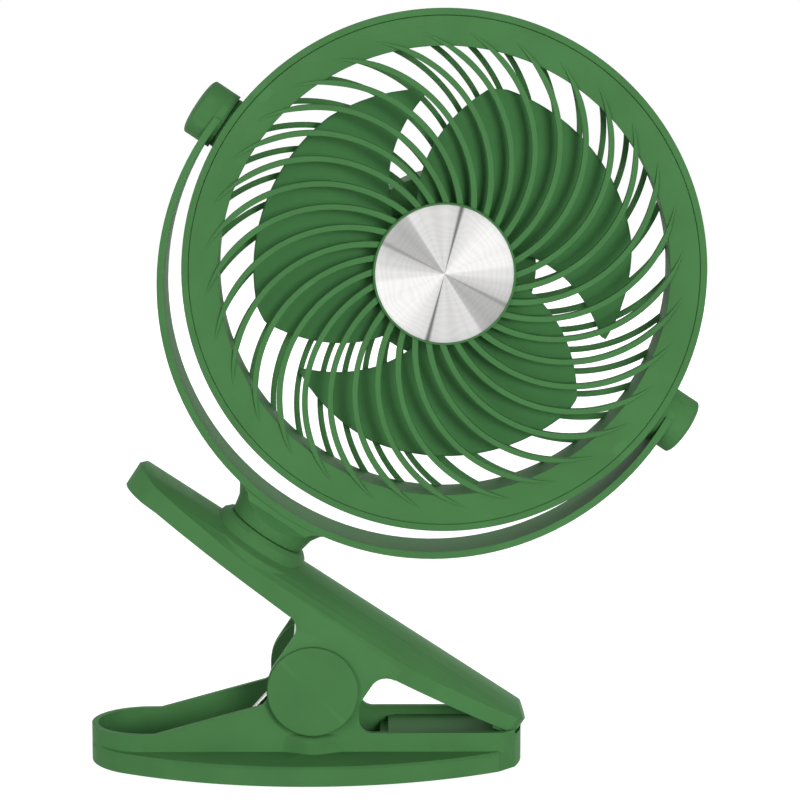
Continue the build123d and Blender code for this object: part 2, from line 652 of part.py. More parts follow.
def power_button():
    cap = along_y(BUTTON_RADIUS, BUTTON_BACK, COVER_BACK + 1.4)
    cap += along_y(BUTTON_RADIUS + 1.4, BUTTON_BACK, BUTTON_BACK + 1.3)
    return HEAD * cap


# ---------------------------------------------------------------- impeller, in the head's frame
def blade_edge(r, root_angle, sweep):
    """A point of a blade's leading or trailing edge; the angle grows with the radius."""
    angle = math.radians(root_angle + sweep * (r - 35.0))
    return (r * math.cos(angle), -r * math.sin(angle))


def blade_plan():
    """The blade seen along the axis: both edges swept the way it turns, pointed tip corner."""
    root, tip = IMPELLER_HUB - 2.0, BLADE_TIP_RADIUS
    trail = [blade_edge(r, 12.0, 0.82) for r in (root, 48.0, tip - 1.5)]
    lead = [blade_edge(r, 111.5, 0.96) for r in (root, 46.0, tip - 6.0)]
    outer = math.radians(100)
    top = (tip * math.cos(outer), -tip * math.sin(outer))
    near_trail = blade_edge(tip, 12.0 + 4.0, 0.82)
    near_lead = blade_edge(tip - 0.4, 111.5 - 6.0, 0.96)
    inner = math.radians(58)
    low = (root * math.cos(inner), -root * math.sin(inner))
    return Curve() + [
        ThreePointArc(trail[0], trail[1], trail[2]),
        Line(trail[2], near_trail),
        ThreePointArc(near_trail, top, near_lead),
        Line(near_lead, lead[2]),
        ThreePointArc(lead[2], lead[1], lead[0]),
        ThreePointArc(lead[0], low, trail[0])]


def screw_slab():
    """A screw surface round the Y axis, rising BLADE_PITCH for each degree and given its
    thickness along the axis. It is stepped in flat facets, because curved ones mesh finely."""
    def ring(r, lift):
        return [Vector(r * math.cos(math.radians(a)), BLADE_FRONT + lift + BLADE_PITCH * a,
                       -r * math.sin(math.radians(a))) for a in angles]

    angles = [BLADE_TURN * i / BLADE_STEPS for i in range(BLADE_STEPS + 1)]
    corners = [ring(BLADE_ROOT, 0), ring(BLADE_TIP_RADIUS + 6, 0),
               ring(BLADE_TIP_RADIUS + 6, BLADE_THICKNESS), ring(BLADE_ROOT, BLADE_THICKNESS)]
    faces = [Face(Wire.make_polygon([c[i] for c in corners])) for i in (0, BLADE_STEPS)]
    for i in range(BLADE_STEPS):
        for a, b in zip(corners, corners[1:] + corners[:1]):
            faces.append(Face(Wire.make_polygon([a[i], b[i], b[i + 1]])))
            faces.append(Face(Wire.make_polygon([a[i], b[i + 1], a[i + 1]])))
    return Solid(Shell(faces))


def blade():
    slab = Rot(0, 2.0, 0) * screw_slab()
    return slab & extrude(Plane.XZ * make_face(blade_plan()), 60, both=True)


def impeller():
    front, web = IMPELLER_FRONT, IMPELLER_FRONT + IMPELLER_WEB
    hub = turned([(0, front), (IMPELLER_HUB - 1.6, front), (IMPELLER_HUB, front + 1.6),
                  (IMPELLER_HUB, IMPELLER_BACK), (IMPELLER_HUB - 2.0, IMPELLER_BACK),
                  (IMPELLER_HUB - 2.0, web), (0, web)])
    body = hub - along_y(SHAFT_RADIUS + 0.02, -30, 30)
    for one in ring_of(blade(), BLADES, -LEAN_ANGLE):
        body += one
    return HEAD * body


# ---------------------------------------------------------------- all nodes
NODES = [
    base_shell, foot_pad, lower_jaw_pad, pivot_pin, pivot_caps, torsion_spring, lever_shell,
    upper_jaw_pad, swivel_bolt, swivel_nut, yoke, tilt_caps, tilt_screws,
    front_guard, hub_disc, rear_shell, rear_cover, cover_screws, motor_can, motor_shaft,
    shaft_nut, impeller, battery, circuit_board, usb_socket, status_lens, power_button]

os.makedirs("parts", exist_ok=True)
for node in NODES:
    export_step(node(), f"parts/{node.__name__}.step")
    print("wrote", node.__name__)
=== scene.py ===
"""The looks of the clip fan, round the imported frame.

Lengths in this file are millimetres unless a comment says otherwise, and `to_row` turns them
into the frame's metres. Three places are used. BASE is the row's own frame. PIVOT has the row's
directions and its origin on the clip's pivot. HEAD has its origin in the middle of the head, X
along the tilt axis and Y towards the back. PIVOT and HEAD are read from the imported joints.
"""
import json
import math
import bmesh
import bpy
import numpy as np
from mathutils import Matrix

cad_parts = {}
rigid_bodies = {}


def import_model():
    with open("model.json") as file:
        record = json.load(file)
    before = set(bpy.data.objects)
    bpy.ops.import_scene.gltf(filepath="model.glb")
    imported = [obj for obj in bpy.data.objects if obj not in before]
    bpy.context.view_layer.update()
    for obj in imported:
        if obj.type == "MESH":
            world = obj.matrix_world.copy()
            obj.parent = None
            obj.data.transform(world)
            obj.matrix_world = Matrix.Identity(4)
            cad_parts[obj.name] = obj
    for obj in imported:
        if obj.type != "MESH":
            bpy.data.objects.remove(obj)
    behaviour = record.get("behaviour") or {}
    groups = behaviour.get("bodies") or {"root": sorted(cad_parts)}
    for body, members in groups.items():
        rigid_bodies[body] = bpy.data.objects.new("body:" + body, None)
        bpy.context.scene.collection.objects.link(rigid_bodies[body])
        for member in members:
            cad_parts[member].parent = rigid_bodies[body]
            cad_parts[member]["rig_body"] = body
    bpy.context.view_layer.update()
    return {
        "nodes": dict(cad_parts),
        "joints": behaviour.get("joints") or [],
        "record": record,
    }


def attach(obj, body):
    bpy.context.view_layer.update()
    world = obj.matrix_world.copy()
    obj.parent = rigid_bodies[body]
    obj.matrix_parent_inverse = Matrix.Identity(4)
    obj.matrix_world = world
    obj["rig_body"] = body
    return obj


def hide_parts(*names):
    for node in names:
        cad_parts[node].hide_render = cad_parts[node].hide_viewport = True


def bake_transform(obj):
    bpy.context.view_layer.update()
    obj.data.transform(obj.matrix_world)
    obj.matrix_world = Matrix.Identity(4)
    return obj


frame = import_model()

MM = 0.001

# ---------------------------------------------------------------- the guard and the shell's ring
# Depths are Y in HEAD, so the front of the head has the smallest.
HEAD_RADIUS = 100.0
RING_FRONT = -18.0
RING_BACK = 7.6
RING_PLATE = 2.4          # thickness of the guard's ring
RING_INNER = 85.8
RING_DISH = 1.0           # the ring's face falls this much from DISH_RADIUS to its opening
DISH_RADIUS = 93.5
RING_TAPER = 2.4          # the shell's ring narrows this much to its back
REAR_INNER = 86.3
GROOVE_RADIUS = 97.3      # where the guard's ring meets the shell's
GROOVE = 0.12
STEP_BACK = 0.3           # the shell's ring and the ribs' tails lie this far behind the face
HUB_RADIUS = 27.1
HUB_RIM = 0.7             # width of the thin rim round the disc
HUB_FRONT = -20.8
HUB_BACK = -15.6
HUB_WALL = 2.6
HUB_PLATE = 1.6
DISC_FRONT = -20.4
DISC_BACK = -18.8
DISC_CROWN = 0.12         # fall of the disc's face to its edge
DISC_BREAK = 0.12         # width of the broken edge, and the depth that it ends at
DISC_BREAK_END = 0.3
DISC_BREAK_MIDDLE = (0.05, 0.15)    # a point of it: in from the rim, and behind the face
SUNK = 1.0                # ribs start and end this deep in what they join
RIBS = 32
RIB_ARC = (-26.2, 42.3, 51.5)       # x and z of the arc's middle, and its radius
RIB_WIDTH = 2.25
RIB_FLARE = 0.1           # share by which a rib is wider at the hub, gone by FLARE_END
FLARE_START = 26.0
FLARE_END = 46.0
RIB_FRONT = -18.8
RIB_BACK = -15.8
RIB_TAIL = RING_INNER - 3.0         # from here to RIB_TIP the rib narrows to a point
RIB_TIP = 91.6
TAIL_LOSS = 0.86          # share of the width that is lost along the tail, with this power
TAIL_POWER = 1.2
RIB_POWER = 0.26         # how square the section is: 1 is an ellipse, 0 a rectangle
RIB_CORNERS = 20
REAR_RIBS = 37
REAR_ARC = (-26.1, 47.3, 57.0)
REAR_WIDTH = 2.2
REAR_DEPTH = 2.4
PAD_RADIUS = 10.4         # the pads at the tilt axis
PAD_IN = 95.4
PAD_OUT = 100.94
SCREW_RADIUS = 2.6
SCREW_GAP = 0.03

# ---------------------------------------------------------------- the pod and what is in it
POD_RADIUS = 36.0
POD_WALL = 2.2
POD_FRONT = 4.9
POD_FLOOR = 9.6
POD_BACK = 30.0
POD_BORE = 1.6
POST_X = 29.0             # the posts for the cover's screws
POST_RADIUS = 2.6
POST_BORE = 1.25
POST_SUNK = 0.5           # they start this deep in the floor and end this short of the rim
POST_SHORT = 0.2
USB_Y = 22.4
USB_WIDTH = 9.24
USB_HEIGHT = 3.56
USB_CUT = (3, 5)          # the cutter reaches this far outside and inside POD_RADIUS
LENS_RADIUS = 1.5
LENS_FRONT = 21.5
LENS_BACK = 33.2
LENS_UP = 14.0
BUTTON = (                # radius and depth: a flange behind the cover, and a hollowed top
    (0, 27.8), (7.4, 27.8), (7.4, 29.1), (6.0, 29.1), (6.0, 34.3), (4.6, 34.4), (0, 34.1))

# ---------------------------------------------------------------- the impeller
# A blade's angles are in degrees at BLADE_MID, and its sweeps in degrees a millimetre of radius.
BLADES = 3
BLADE_ROOT = 22.8
BLADE_MID = 35.0
BLADE_TIP = 73.0
BLADE_FRONT = -14.2
BLADE_PITCH = 0.105       # rise in a degree of turn
BLADE_THICK = 1.8
BLADE_CROWDING = 1.6      # power by which the stations crowd towards the tip
BLADE_ENDS = 0.8          # powers of the section: how round its ends and how flat its faces are
BLADE_FACES = 0.28
BLADE_TURN = 2.0          # degrees that all the blades are turned by
TRAIL_ANGLE = 12.0
TRAIL_SWEEP = 0.82
TRAIL_TUCK = 4.0          # the trailing corner is cut back this much over TUCK_WIDTH
TUCK_WIDTH = 1.5
LEAD_ANGLE = 111.5
LEAD_SWEEP = 0.96
LEAD_LIMIT = 142.0
BLADE_CORNER = 69.2       # beyond this radius the leading edge falls back by BLADE_FALL
BLADE_FALL = 31.0
TIP_ROUND = 0.9
TIP_LEAST = 0.02          # square of the share of the thickness that is left at the very tip
FAN_HUB = 25.4
FAN_FRONT = -13.4
FAN_BACK = 3.6
FAN_WEB = 2.2
FAN_SLOPE = 2.2           # width and depth of the sloped rim
FAN_WALL = 2.0
SHAFT_RADIUS = 1.5
SHAFT_OUT = 2.8           # the shaft stands this far out of the impeller
SHAFT_BACK = 6.5
FIT = 0.02

# ---------------------------------------------------------------- the yoke's bosses and the clip
BOSS_RADIUS = 11.4
BOSS_INNER = 101.0
BOSS_OUTER = 111.1
DOME = 2.7
DOME_STEP = 0.1
TRIM_START = 0.06         # a boss is trimmed above its middle, from this many radians up
TRIM_RADIUS = 17.0
TRIM_NEAR = 0.3           # the cutter reaches this far past the boss's two ends
TRIM_FAR = 0.5
PIN_RADIUS = 3.0
CAP_RADIUS = 17.5
CAP_IN = 24.9
CAP_OUT = 27.3
WALL_OUT = 21.6           # the base's channel walls, from the middle
WALL_IN = 19.2
LEDGE = 8.2               # heights of the plinth's ledge, the jaw's deck and the walls' rim
DECK = 9.4
RIM = 15.6
BASE_TIP = 81.5
TIP_ARC = 46.9            # radius of the plinth's round end
BLOCK_HALF = 16.0         # the space that is cleared of the CAD's block, along X and out in Y
BLOCK_FAR = 30.0
FOOTING = 0.5             # what is added to the base starts this deep in it
MOUND_HALF = 13.0
MOUND_OUT = 4.3
MOUND_START = -0.1        # at its two ends, out from the wall's face
MOUND_BACK = 1.0
MOUND_PROFILE = (         # height, and the share of the way from the back that it stands out
    (LEDGE - FOOTING, 0), (LEDGE - FOOTING, 1), (12.4, 1), (13.5, 0.96),
    (14.4, 0.82), (15.0, 0.55), (15.3, 0.1), (15.3, 0))
JAW_CORNER = 16.5         # from the middle to where the round end turns into the channel's wall
JAW_SLANT = 0.93
JAW_WALL = 2.4
JAW_STEP = (15.9, 16.3)   # the end wall climbs to the rim between these
JAW_TOP_OUT = 13.5
JAW_TOP_IN = 12.2
SPRING_WIRE = 1.1         # wire radius
SPRING_RADIUS = 8.0
SPRING_TURNS = 2
SPRING_PITCH = 3.2
LEVER_LEG = (-27.0, 31.5)           # end of the leg, along the closed lever and square to it
BASE_LEG = (-36.0, -27.8)           # end of the other leg, in PIVOT

# ---------------------------------------------------------------- looks
GREEN = (0.070, 0.205, 0.068)
# the blades' own green, made darker than the shell's as painted shade for the blades, which lie behind
# the guard
BLADE_GREEN_SHADED = (0.058, 0.185, 0.060)
PLASTIC_GLOSS = 0.07
DISC_TINT = (0.84, 0.832, 0.828)
DISC_REFLECTION_TONES = (            # degrees round the disc, and the tone there of the painted reflection: light and grey wedge shapes and a thin dark line
    (0, 0.78), (11, 0.72), (14.5, 0.14), (18, 0.76), (28, 0.86), (45, 1.0),
    (78, 1.0), (90, 0.84), (104, 0.70), (113, 0.62), (117, 0.34), (121, 0.50),
    (138, 0.46), (145, 0.52), (150, 0.84), (158, 0.76), (170, 0.74), (180, 0.78))
SHARP = 38                # degrees from which an edge is shaded as a crease
COPY_SHARP = 16
FLAT = 0.4                # degrees up to which a copy's facets are one face
EDGE_ANGLE = 32           # degrees from which a copy's edge is bevelled
EDGE_WIDTHS = {
    "lever_shell": 0.45, "rear_cover": 0.35, "foot_pad": 0.3, "lower_jaw_pad": 0.35,
    "upper_jaw_pad": 0.3, "swivel_bolt": 0.4, "swivel_nut": 0.4, "tilt_screws": 0.35,
    "cover_screws": 0.25, "shaft_nut": 0.25, "motor_can": 0.5, "battery": 0.8,
    "circuit_board": 0.12, "usb_socket": 0.08,
}

# ---------------------------------------------------------------- stage, in metres and watts
FLOOR_HALF = 6
FLOOR_GREY = 0.45
FLOOR_GLOW = 0.92
WORLD_LIGHT = 0.22
LAMP_AIM = (0.03, 0, 0.15)
LAMPS = (                 # name, place, size and power
    ("key", (0.50, -1.48, 0.40), 0.5, 14.4),
    ("fill", (-0.66, -1.35, 0.32), 0.8, 5.2),
    ("left", (-1.30, 0.15, 0.42), 0.9, 4.5),
    ("right", (1.05, 0.95, 0.35), 0.9, 4.5),
    ("back", (0.20, 1.50, 0.60), 0.9, 9.0))
CAMERA_PLACE = (0.0264, -1.1145, 0.3224)
CAMERA_DOWN = 9.14        # degrees
CAMERA_TURN = -0.38
CAMERA_LENS = 130.77      # millimetres, with the sensor
CAMERA_SENSOR = 36
CAMERA_FAR = 20


# ---------------------------------------------------------------- places
def packed(joint, key):
    """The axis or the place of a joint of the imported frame."""
    found = next(one for one in frame["joints"] if one["name"] == joint)
    return np.array(found[key], float)


TILT_AXIS = packed("head_tilt", "axis")       # it lies along the closed lever
SWIVEL_AXIS = packed("yoke_swivel", "axis")
LEAN = math.atan2(-TILT_AXIS[2], TILT_AXIS[0])
BASE = (np.zeros(3), np.eye(3))
PIVOT = (packed("clip_open", "pos_m"), np.eye(3))
HEAD = (packed("head_tilt", "pos_m"),
        np.stack([TILT_AXIS, np.cross(SWIVEL_AXIS, TILT_AXIS), SWIVEL_AXIS]))


def to_row(points, place):
    """A place's millimetres to the row's metres."""
    origin, directions = place
    return origin + MM * (points @ directions)


def turned(points, degrees):
    """Points turned clockwise about Y, as seen from the front."""
    c = math.cos(math.radians(degrees))
    s = math.sin(math.radians(degrees))
    x, y, z = np.moveaxis(points, -1, 0)
    return np.stack([x * c + z * s, y, z * c - x * s], -1)


def along_x(grid):
    """The same grid with its Y axis laid along X."""
    x, y, z = np.moveaxis(grid, -1, 0)
    return np.stack([y, -x, z], -1)


# ---------------------------------------------------------------- meshes
def add_object(name, data):
    """A new object in the scene."""
    made = bpy.data.objects.new(name, data)
    bpy.context.scene.collection.objects.link(made)
    return made


def give(thing, **values):
    """Sets several properties of one thing."""
    for key, value in values.items():
        setattr(thing, key, value)


def shade_smooth(mesh, sharp):
    """Shades the mesh smooth, but for edges sharper than the given degrees."""
    mesh.polygons.foreach_set("use_smooth", np.ones(len(mesh.polygons), bool))
    mesh.set_sharp_from_angle(angle=math.radians(sharp))


def clean_object(mesh, name, merge=1e-6):
    """The mesh as an object: doubles merged, slivers dropped and faces turned outward."""
    work = bmesh.new()
    work.from_mesh(mesh)
    bmesh.ops.remove_doubles(work, verts=work.verts, dist=merge)
    bmesh.ops.dissolve_degenerate(work, edges=work.edges, dist=merge)
    bmesh.ops.recalc_face_normals(work, faces=work.faces)
    work.to_mesh(mesh)
    work.free()
    shade_smooth(mesh, SHARP)
    return add_object(name, mesh)


def cells(rows, columns):
    """The four corner indices of every cell of a grid whose columns close up."""
    i, j = np.meshgrid(np.arange(rows - 1), np.arange(columns), indexing="ij")
    following = (j + 1) % columns
    near = i * columns
    far = near + columns
    return np.stack([near + j, near + following, far + following, far + j], -1).reshape(-1, 4)


def build(name, grids, place):
    """One object from grids of points whose columns close up. A grid's end is closed where its
    last row shrinks to a point."""
    faces = []
    start = 0
    for grid in grids:
        rows, columns = grid.shape[:2]
        faces.append(cells(rows, columns) + start)
        start += rows * columns
    points = np.concatenate([grid.reshape(-1, 3) for grid in grids])
    mesh = bpy.data.meshes.new(name)
    mesh.from_pydata(to_row(points, place).tolist(), [], np.concatenate(faces).tolist())
    return clean_object(mesh, name)


def joined(name, pieces):
    """Several meshes made one, each left as it is."""
    work = bmesh.new()
    for piece in pieces:
        work.from_mesh(piece.data)
        bpy.data.objects.remove(piece)
    mesh = bpy.data.meshes.new(name)
    work.to_mesh(mesh)
    work.free()
    shade_smooth(mesh, SHARP)
    return add_object(name, mesh)


def cut_out(piece, tool):
    """The piece with the tool's space taken from it, as a plain mesh."""
    cut = piece.modifiers.new("cut", "BOOLEAN")
    give(cut, operation="DIFFERENCE", object=tool, solver="EXACT")
    seen = piece.evaluated_get(bpy.context.evaluated_depsgraph_get())
    mesh = bpy.data.meshes.new_from_object(seen)
    name = piece.name
    bpy.data.objects.remove(piece)
    bpy.data.objects.remove(tool)
    return clean_object(mesh, name)


# ---------------------------------------------------------------- curves and grids
def circle(count):
    """Angles all the way round, without the first one again."""
    return np.linspace(0, 2 * math.pi, count, endpoint=False)


def fuller(wave, power):
    """A sine or cosine w made fuller or thinner: sign(w) |w|^power."""
    return np.sign(wave) * np.abs(wave) ** power


def slope(value, low, high):
    """Nought below low, one above high and straight between them."""
    return np.clip((value - low) / (high - low), 0, 1)


def rounded(profile, radius, closed=True):
    """A polyline whose corner p becomes the curve (p+a)(1-t)^2 + 2pt(1-t) + (p+b)t^2. It leaves
    both sides at most `radius` from the corner, and one more point beyond each of its ends
    holds the flats."""
    p = np.array(profile, float)
    before = np.roll(p, 1, 0) - p
    after = np.roll(p, -1, 0) - p
    before_length = np.linalg.norm(before, axis=1, keepdims=True)
    after_length = np.linalg.norm(after, axis=1, keepdims=True)
    cut = np.minimum(radius, 0.3 * np.minimum(before_length, after_length))
    a = (before / before_length * cut)[:, None]
    b = (after / after_length * cut)[:, None]
    p = p[:, None]
    t = np.linspace(0, 1, 5)[None, :, None]
    curve = (p + a) * (1 - t) ** 2 + p * 2 * t * (1 - t) + (p + b) * t ** 2
    curve = np.concatenate([p + 1.5 * a, curve, p + 1.5 * b], 1)
    if closed:
        return curve.reshape(-1, 2)
    return np.concatenate([p[0], curve[1:-1].reshape(-1, 2), p[-1]])


def lathe(profile, around):
    """The profile's points (r, y) carried round Y: x = r cos a, z = r sin a. Columns run round
    the axis."""
    angle = circle(around)
    r, y = np.array(profile).T
    flat = np.outer(y, np.ones(around))
    return np.stack([np.outer(r, np.cos(angle)), flat, np.outer(r, np.sin(angle))], -1)


def turned_solid(profile, radius, around):
    """A closed body of revolution with rounded corners, clear of its axis."""
    points = rounded(profile, radius)
    return lathe(np.concatenate([points, points[:1]]), around)


def round_bar(profile, radius, around):
    """A body of revolution with rounded corners that starts and ends on the axis."""
    return lathe(rounded(profile, radius, closed=False), around)


def capped(sections):
    """A run of closed sections with a point at the middle of each end, so the tube is closed."""
    first = sections[:1].mean(1, keepdims=True)
    last = sections[-1:].mean(1, keepdims=True)
    count = sections.shape[1]
    return np.concatenate([first.repeat(count, 1), sections, last.repeat(count, 1)])


def rib(arc, r0, r1, width, front, back, stations):
    """A curled rib from radius r0 to r1: a squarish section carried along a circular arc in the
    plane of the guard. With d from the axis to the middle of the arc, whose radius is R, the
    station at distance r lies where cos(swing) = (d^2 + R^2 - r^2) / 2dR. `width` and `front`
    are functions of r."""
    middle_x, middle_z, radius = arc
    reach = math.hypot(middle_x, middle_z)

    def turn(r):
        """The arc's angle at the distance r from the axis."""
        swing = (reach ** 2 + radius ** 2 - r ** 2) / (2 * reach * radius)
        return math.atan2(-middle_z, -middle_x) + math.acos(swing)

    angle = np.linspace(turn(r0), turn(r1), stations)
    r = np.hypot(middle_x + radius * np.cos(angle), middle_z + radius * np.sin(angle))
    phase = circle(RIB_CORNERS) + math.pi / RIB_CORNERS
    side = radius + np.outer(width(r) / 2, fuller(np.cos(phase), RIB_POWER))
    deep = np.outer((back - front(r)) / 2, fuller(np.sin(phase), RIB_POWER))
    x = middle_x + side * np.cos(angle)[:, None]
    y = (front(r) + back)[:, None] / 2 + deep
    z = middle_z + side * np.sin(angle)[:, None]
    return capped(np.stack([x, y, z], -1))


def blade():
    """A fan blade: at radius r its section runs from the trailing to the leading angle, and each
    of them is straight in r but for the corners. It rises as a screw does, y = front + pitch *
    angle, and is thinned to a round edge at both ends and at the tip."""
    outward = 1 - (1 - np.linspace(0, 1, 40)) ** BLADE_CROWDING
    r = BLADE_ROOT + (BLADE_TIP - BLADE_ROOT) * outward
    trail = TRAIL_ANGLE + TRAIL_SWEEP * (r - BLADE_MID)
    trail += TRAIL_TUCK * slope(r, BLADE_TIP - TUCK_WIDTH, BLADE_TIP)
    lead = np.minimum(LEAD_ANGLE + LEAD_SWEEP * (r - BLADE_MID), LEAD_LIMIT)
    lead -= BLADE_FALL * slope(r, BLADE_CORNER, BLADE_TIP)
    phase = circle(96)
    share = 0.5 - 0.5 * fuller(np.cos(phase), BLADE_ENDS)
    skin = fuller(np.sin(phase), BLADE_FACES)
    degrees = trail[:, None] + np.outer(lead - trail, share)
    tip = np.sqrt(np.clip(1 - slope(r, BLADE_TIP - TIP_ROUND, BLADE_TIP) ** 2, TIP_LEAST, 1))
    y = BLADE_FRONT + BLADE_PITCH * degrees + BLADE_THICK / 2 * (1 + np.outer(tip, skin))
    angle = np.radians(degrees)
    x = r[:, None] * np.cos(angle)
    z = -r[:, None] * np.sin(angle)
    return turned(capped(np.stack([x, y, z], -1)), BLADE_TURN)


def wire(path, radius):
    """A round wire along a path that never runs along Y: each ring is square to the path, with
    its first direction square to Y too."""
    step = np.gradient(path, axis=0)
    step /= np.linalg.norm(step, axis=1, keepdims=True)
    side = np.cross(step, [0.0, 1.0, 0.0])
    side /= np.linalg.norm(side, axis=1, keepdims=True)
    other = np.cross(step, side)
    phase = circle(12)[None, :, None]
    ring = side[:, None] * np.cos(phase) + other[:, None] * np.sin(phase)
    return capped(path[:, None] + radius * ring)


def spring_path():
    """The torsion spring's middle line in PIVOT: a leg to the lever, the coil (R cos a, pitch *
    a / 2 pi, R sin a) and a leg to the base's floor. Each leg is a tangent of the coil."""
    x, z = LEVER_LEG
    c = math.cos(LEAN)
    s = math.sin(LEAN)
    upper = (x * c + z * s, z * c - x * s)
    lower = BASE_LEG

    def tangent(end, sense):
        """The coil's angle at which a straight leg from the end touches it."""
        return math.atan2(end[1], end[0]) - sense * math.acos(SPRING_RADIUS / math.hypot(*end))

    full = 2 * math.pi
    start = tangent(upper, -1)
    end = tangent(lower, 1)
    end += full * math.ceil((start + full * (SPRING_TURNS - 1) - end) / full)
    angle = np.linspace(start, end, 120)
    y = SPRING_PITCH * ((angle - start) / full - SPRING_TURNS / 2)
    coil = np.stack([SPRING_RADIUS * np.cos(angle), y, SPRING_RADIUS * np.sin(angle)], -1)
    first = np.linspace([upper[0], y[0], upper[1]], coil[0], 12)[:-1]
    last = np.linspace(coil[-1], [lower[0], y[-1], lower[1]], 12)[1:]
    return np.concatenate([first, coil, last])


# ---------------------------------------------------------------- materials
def add_node(tree, kind, **values):
    """A new node. Each value goes to the socket of that name, or else to the property."""
    node = tree.nodes.new(kind)
    for key, value in values.items():
        if key in node.inputs:
            node.inputs[key].default_value = value
        else:
            setattr(node, key, value)
    return node


def times(colour, factor):
    """A colour made darker or lighter."""
    return [min(1, part * factor) for part in colour]


class Finish:
    """A node material with its principled shader, and short ways to add what a finish needs.
    Textures lie in the Object coordinates, which are the row's own."""

    def __init__(self, name):
        """Starts the material; `shader` is its principled shader."""
        self.material = bpy.data.materials.new(name)
        self.material.use_nodes = True
        self.tree = self.material.node_tree
        self.shader = self.tree.nodes["Principled BSDF"]
        self.link = self.tree.links.new

    def add(self, kind, **values):
        """A new node of this material."""
        return add_node(self.tree, kind, **values)

    def place(self):
        """The point that is being shaded."""
        return self.add("ShaderNodeTexCoord").outputs["Object"]

    def noise(self, place, **values):
        """Noise at a point, or along a line if it has one dimension."""
        line = values.get("noise_dimensions") == "1D"
        node = self.add("ShaderNodeTexNoise", **values)
        self.link(place, node.inputs["W" if line else "Vector"])
        return node.outputs["Fac"]

    def maths(self, operation, *terms):
        """An operation on sockets and plain numbers."""
        node = self.add("ShaderNodeMath", operation=operation)
        for slot, term in zip(node.inputs, terms):
            if isinstance(term, float):
                slot.default_value = term
            else:
                self.link(term, slot)
        return node.outputs["Value"]

    def between(self, value, low, high, start=0.0, end=1.0):
        """The value's span from start to end laid over low to high."""
        span = {"From Min": start, "From Max": end, "To Min": low, "To Max": high}
        node = self.add("ShaderNodeMapRange", **span)
        self.link(value, node.inputs["Value"])
        return node.outputs["Result"]

    def tint(self, value, dark, light, start=0.0, end=1.0):
        """A colour from dark to light as the value goes from start to end."""
        node = self.add("ShaderNodeValToRGB")
        stops = node.color_ramp.elements
        give(stops[0], position=start, color=(*dark, 1))
        give(stops[1], position=end, color=(*light, 1))
        self.link(value, node.inputs["Fac"])
        return node.outputs["Color"]

    def rubbed(self, colour, light, most):
        """The colour, with up to `most` of a lighter one on outward edges."""
        edge = self.add("ShaderNodeNewGeometry").outputs["Pointiness"]
        node = self.add("ShaderNodeMix", data_type="RGBA")
        factor = node.inputs[0]
        first = node.inputs[6]         # the node has its sockets once for each type of data,
        second = node.inputs[7]        # and these two and output 2 are those for colours
        second.default_value = (*light, 1)
        self.link(self.between(edge, 0.0, most, 0.52, 0.62), factor)
        self.link(colour, first)
        return node.outputs[2]

    def colour(self, value):
        """What the surface's colour is."""
        self.link(value, self.shader.inputs["Base Color"])

    def roughness(self, value, low, high):
        """How rough the surface is, from low to high with the value."""
        self.link(self.between(value, low, high), self.shader.inputs["Roughness"])

    def bump(self, height, strength, distance):
        """Small relief; the distance is in metres."""
        node = self.add("ShaderNodeBump", Strength=strength, Distance=distance)
        self.link(height, node.inputs["Height"])
        self.link(node.outputs["Normal"], self.shader.inputs["Normal"])


def plastic(name, colour, rough):
    """Moulded plastic: colour and gloss drift a little over the piece, the skin has a fine grain
    and edges are rubbed lighter."""
    finish = Finish(name)
    drift = finish.noise(finish.place(), Scale=38.0, Detail=4.0, Roughness=0.6)
    grain = finish.noise(finish.place(), Scale=2600.0, Detail=3.0, Roughness=0.6)
    body = finish.tint(drift, times(colour, 0.93), times(colour, 1.07), 0.32, 0.70)
    finish.colour(finish.rubbed(body, [part * 1.7 + 0.02 for part in colour], 0.12))
    finish.roughness(drift, rough - 0.06, rough + 0.08)
    finish.bump(grain, 0.05, 0.00006)
    finish.shader.inputs["Specular IOR Level"].default_value = PLASTIC_GLOSS
    return finish.material


def painted_reflection_wedges(finish, half):
    """The disc's painted reflection: light and grey wedge shapes and a thin dark line, drawn over one
    half turn.
    """
    node = finish.add("ShaderNodeValToRGB")
    node.color_ramp.interpolation = "EASE"
    stops = node.color_ramp.elements
    for degrees, _ in DISC_REFLECTION_TONES[1:-1]:
        stops.new(degrees / 180)
    for stop, (degrees, tone) in zip(stops, DISC_REFLECTION_TONES):
        give(stop, position=degrees / 180, color=(*times(DISC_TINT, tone), 1))
    finish.link(half, node.inputs["Fac"])
    return node.outputs["Color"]


